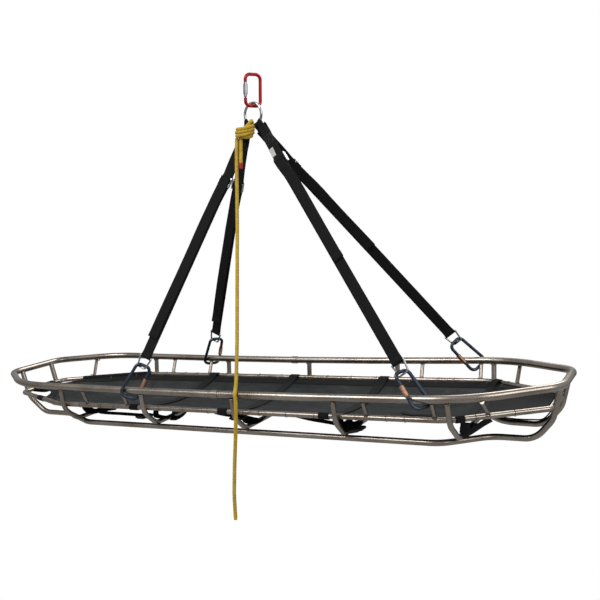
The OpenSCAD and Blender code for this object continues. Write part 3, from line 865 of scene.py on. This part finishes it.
def make_stowed():
    for i, (points, w, turn) in enumerate(STOWED, 1):
        path = smooth([at(x * MM, STOW_Y + 0.002 * math.sin(k * 2 + i), z * MM)
                       for k, (x, z) in enumerate(points)], 6)
        tilt = math.radians(turn)
        across = SIDE * math.cos(tilt) + np.cross(tangents(path), SIDE) * math.sin(tilt)
        strap(f"stowed_strap_{i}", path, across, w * MM, STOWED_T, "strap_webbing")
    # the two arms of the V under the last rib
    path = smooth(in_litter([(800, -226, -70), (794, -210, -90), (786, -194, -112)]), 6)
    strap("stowed_strap_11", path, ALONG, 0.028, STOWED_T, "strap_webbing")
    path = smooth(in_litter([(862, -178, -70), (838, -182, -84), (806, -186, -106),
                           (778, -186, -124)]), 6)
    across = SIDE * 0.7 + np.cross(tangents(path), SIDE) * 0.7
    strap("stowed_strap_12", path, across, 0.026, STOWED_T, "strap_webbing")
    buckles = [side_release_buckle(f"side_release_buckle_{i}", centre, turn)
               for i, (centre, turn) in enumerate(BUCKLES, 1)]
    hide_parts("strap_buckles")
    cord = in_litter([(812, 86, -137), (840, 85, -136), (880, 82, -138), (925, 80, -137),
                    (960, 80, -133), (985, 80, -108), (1000, 79, -91)])
    tube("head_tie_cord", smooth(cord, 8), 0.0045, "strap_webbing", sides=10)


make_stowed()


# ---- weld beads ----------------------------------------------------------
FOOT_POST = (-0.916, 0.226, 0.169)
POST_BEAD, RIB_BEAD, BEAD_GAP = 0.0032, 0.0038, 0.0006


def bead(centre, axis, r, rail_r, lump):
    """A ripple of weld round a tube that meets a rail, saddle-shaped over the rail."""
    side = unit(np.cross(axis, ALONG))
    path = []
    for q in np.linspace(0, 2 * math.pi, 25):
        along, out = r * math.cos(q), r * math.sin(q)
        dip = rail_r - math.sqrt(max(rail_r ** 2 - out * out, 0))
        path.append(centre + ALONG * along + side * out + axis * (dip - lump / 3))
    return tube("bead", path, lump, "weld", sides=8)


def make_beads():
    beads = []
    ends = [(x, s * top, s * mid) for x, top, mid in POSTS for s in (-1, 1)] + [FOOT_POST]
    for x, top, mid in ends:
        high, low = at(x, top, SHEER * x * x), at(x, mid, mid_rail_z(x))
        down = unit(low - high)
        beads.append(bead(high + down * RAIL_R, down, POST_R + BEAD_GAP, RAIL_R, POST_BEAD))
        beads.append(bead(low - down * MID_R, -down, POST_R + BEAD_GAP, MID_R, POST_BEAD))
    for x in RIBS:
        for s in (-1, 1):
            narrow = 0.004 if x == RIBS[-1] else 0     # the rails already close in at the head
            high = at(x, s * (0.285 - narrow), SHEER * x * x)
            down = unit(at(x, s * (0.278 - narrow * 3), mid_rail_z(x) - 0.014) - high)
            beads.append(bead(high + down * RAIL_R, down, RIB_R + BEAD_GAP, RAIL_R, RIB_BEAD))
    join("weld_beads", beads)


make_beads()


# ---- tag line ------------------------------------------------------------
# The route that the CAD tube follows, in millimetres
ROPE_ROUTE = [
    [-40, -42, -205], [-36, -50, -240], [-31, -60, -300], [-20, -78, -365],
    [-8, -98, -430], [4, -118, -495], [16, -140, -560], [27, -160, -625],
    [38, -180, -690], [49, -200, -755], [60, -220, -820], [70, -239, -880],
    [79, -258, -935], [86, -273, -978], [92, -288, -1002], [98, -303, -1016],
    [103, -306, -1040], [103, -306, -1080], [102, -306, -1130], [100, -306, -1180],
    [97, -306, -1240], [95, -306, -1300], [94, -306, -1350], [96, -306, -1395],
    [98, -306, -1434]]
TAIL_FROM, TAIL_TO = vec([-25, -40, -205]) * MM, vec([-16, -57, -308]) * MM
TAPE = 0.018
KNOT_AT = vec([-12, -36, -186]) * MM
KNOT_RIGHT, KNOT_UP = vec([0.895, 0.446, 0]), vec([0, 0, 1])
KNOT_FRONT = vec([0.446, -0.895, 0])
COILS, COIL_STEPS, COIL_FALL = 3.08, 40, 10.6


def knot_point(u, v, w):
    """A point of the knot, in millimetres right, up and to the front of its middle."""
    return KNOT_AT + (KNOT_RIGHT * u + KNOT_UP * v + KNOT_FRONT * w) * MM


def knot_route(start):
    """Up inside the coils, over the ring, down behind it, coiled downwards and out at the tail."""
    route = [start] + [knot_point(*q) for q in (
        (-23, -6, -9), (-10, 6, -8), (6, 18, -4), (15, 28, -6), (20, 36, -14), (22, 38, -26),
        (23, 31, -40), (25, 22, -30), (28, 19, -14))]
    for q in np.linspace(0, COILS, COIL_STEPS):
        turn = 2 * math.pi * q
        wide = 23 + 5 * math.sin(math.pi * (q + 0.3) / 3.5)
        height = 15 - COIL_FALL * q + 2.8 * math.cos(turn) + 1.4 * math.sin(2 * turn + 1)
        route.append(knot_point(wide * math.cos(turn) + 2 - q, height, 18 * math.sin(turn)))
    return route + [knot_point(8, -18, 11), knot_point(-6, -16, 8), knot_point(-13, -17, 2), TAIL_FROM]


def make_rope():
    line_path = smooth(vec(ROPE_ROUTE) * MM, 10)
    line = rope("tag_line_rope", line_path)
    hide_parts("tag_line")
    tied = rope("ring_knot_rope", smooth(knot_route(line_path[0]), 6))
    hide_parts("tag_line_knot")
    tail = rope("knot_tail_rope",
                [TAIL_FROM + (TAIL_TO - TAIL_FROM) * f for f in np.linspace(0, 1, 20)])
    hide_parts("knot_tail")
    back = unit(TAIL_FROM - TAIL_TO)
    tape = tube("red_tail_tape", [TAIL_TO + back * TAPE * f for f in np.linspace(-0.04, 1, 12)],
                ROPE_D + 0.0011, "red_tape", relief=lambda q, v: 0.0003 * np.cos(2 * q + v * 700))
    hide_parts("tail_tape")


make_rope()


# ---- floor and light -----------------------------------------------------
FLOOR_Z = -1.95
LAMP_AIM = (0, 0, -0.9)
# Each lamp: name, place, size and power
LAMPS = [("key", (-1.5, -3.0, 2.6), 2.2, 115), ("fill", (3.2, -1.5, 1.2), 2.0, 40),
         ("rim", (0.5, 3.2, 2.2), 2.5, 80)]


def make_floor():
    """A pale floor that looks plain white to the camera and grey to the light."""
    bpy.ops.mesh.primitive_plane_add(size=60, location=(0, 0, FLOOR_Z))
    floor = bpy.context.object
    floor.name = "floor"
    s = Shader("pale_floor", (0.40, 0.40, 0.40), rough=0.9)
    cloud = s.noise(s.coords(), 3, detail=3)
    s.color(s.ramp(cloud, [(0.3, (0.38, 0.38, 0.38)), (0.7, (0.42, 0.42, 0.42))]))
    seen, glow, path = s.node("MixShader"), s.node("Emission"), s.node("LightPath")
    glow.inputs["Strength"].default_value = 1.0
    s.link(path.outputs["Is Camera Ray"], seen.inputs[0])
    s.link(s.bsdf.outputs[0], seen.inputs[1])
    s.link(glow.outputs[0], seen.inputs[2])
    s.link(seen.outputs[0], s.tree.nodes["Material Output"].inputs[0])
    floor.data.materials.append(s.mat)


def make_world():
    """Soft light all round, with a white backdrop for the camera."""
    world = bpy.data.worlds.new("studio")
    world.use_nodes = True
    bpy.context.scene.world = world
    tree = world.node_tree
    light, seen = tree.nodes["Background"], tree.nodes.new("ShaderNodeBackground")
    for shade, color, strength in ((light, (0.94, 0.96, 1.0), 0.42), (seen, (1, 1, 1), 1.0)):
        shade.inputs[0].default_value, shade.inputs[1].default_value = (*color, 1), strength
    path, mix = tree.nodes.new("ShaderNodeLightPath"), tree.nodes.new("ShaderNodeMixShader")
    tree.links.new(path.outputs["Is Camera Ray"], mix.inputs[0])
    tree.links.new(light.outputs[0], mix.inputs[1])
    tree.links.new(seen.outputs[0], mix.inputs[2])
    tree.links.new(mix.outputs[0], tree.nodes["World Output"].inputs[0])


def make_lamps():
    for name, where, size, power in LAMPS:
        lamp = bpy.data.objects.new(name, bpy.data.lights.new(name, "AREA"))
        lamp.data.size, lamp.data.energy = size, power
        lamp.location = where
        lamp.rotation_mode = "QUATERNION"
        lamp.rotation_quaternion = (Vector(LAMP_AIM) - Vector(where)).to_track_quat("-Z", "Y")
        bpy.context.scene.collection.objects.link(lamp)


make_floor()
make_world()
make_lamps()
bpy.context.scene.view_settings.view_transform = "Standard"
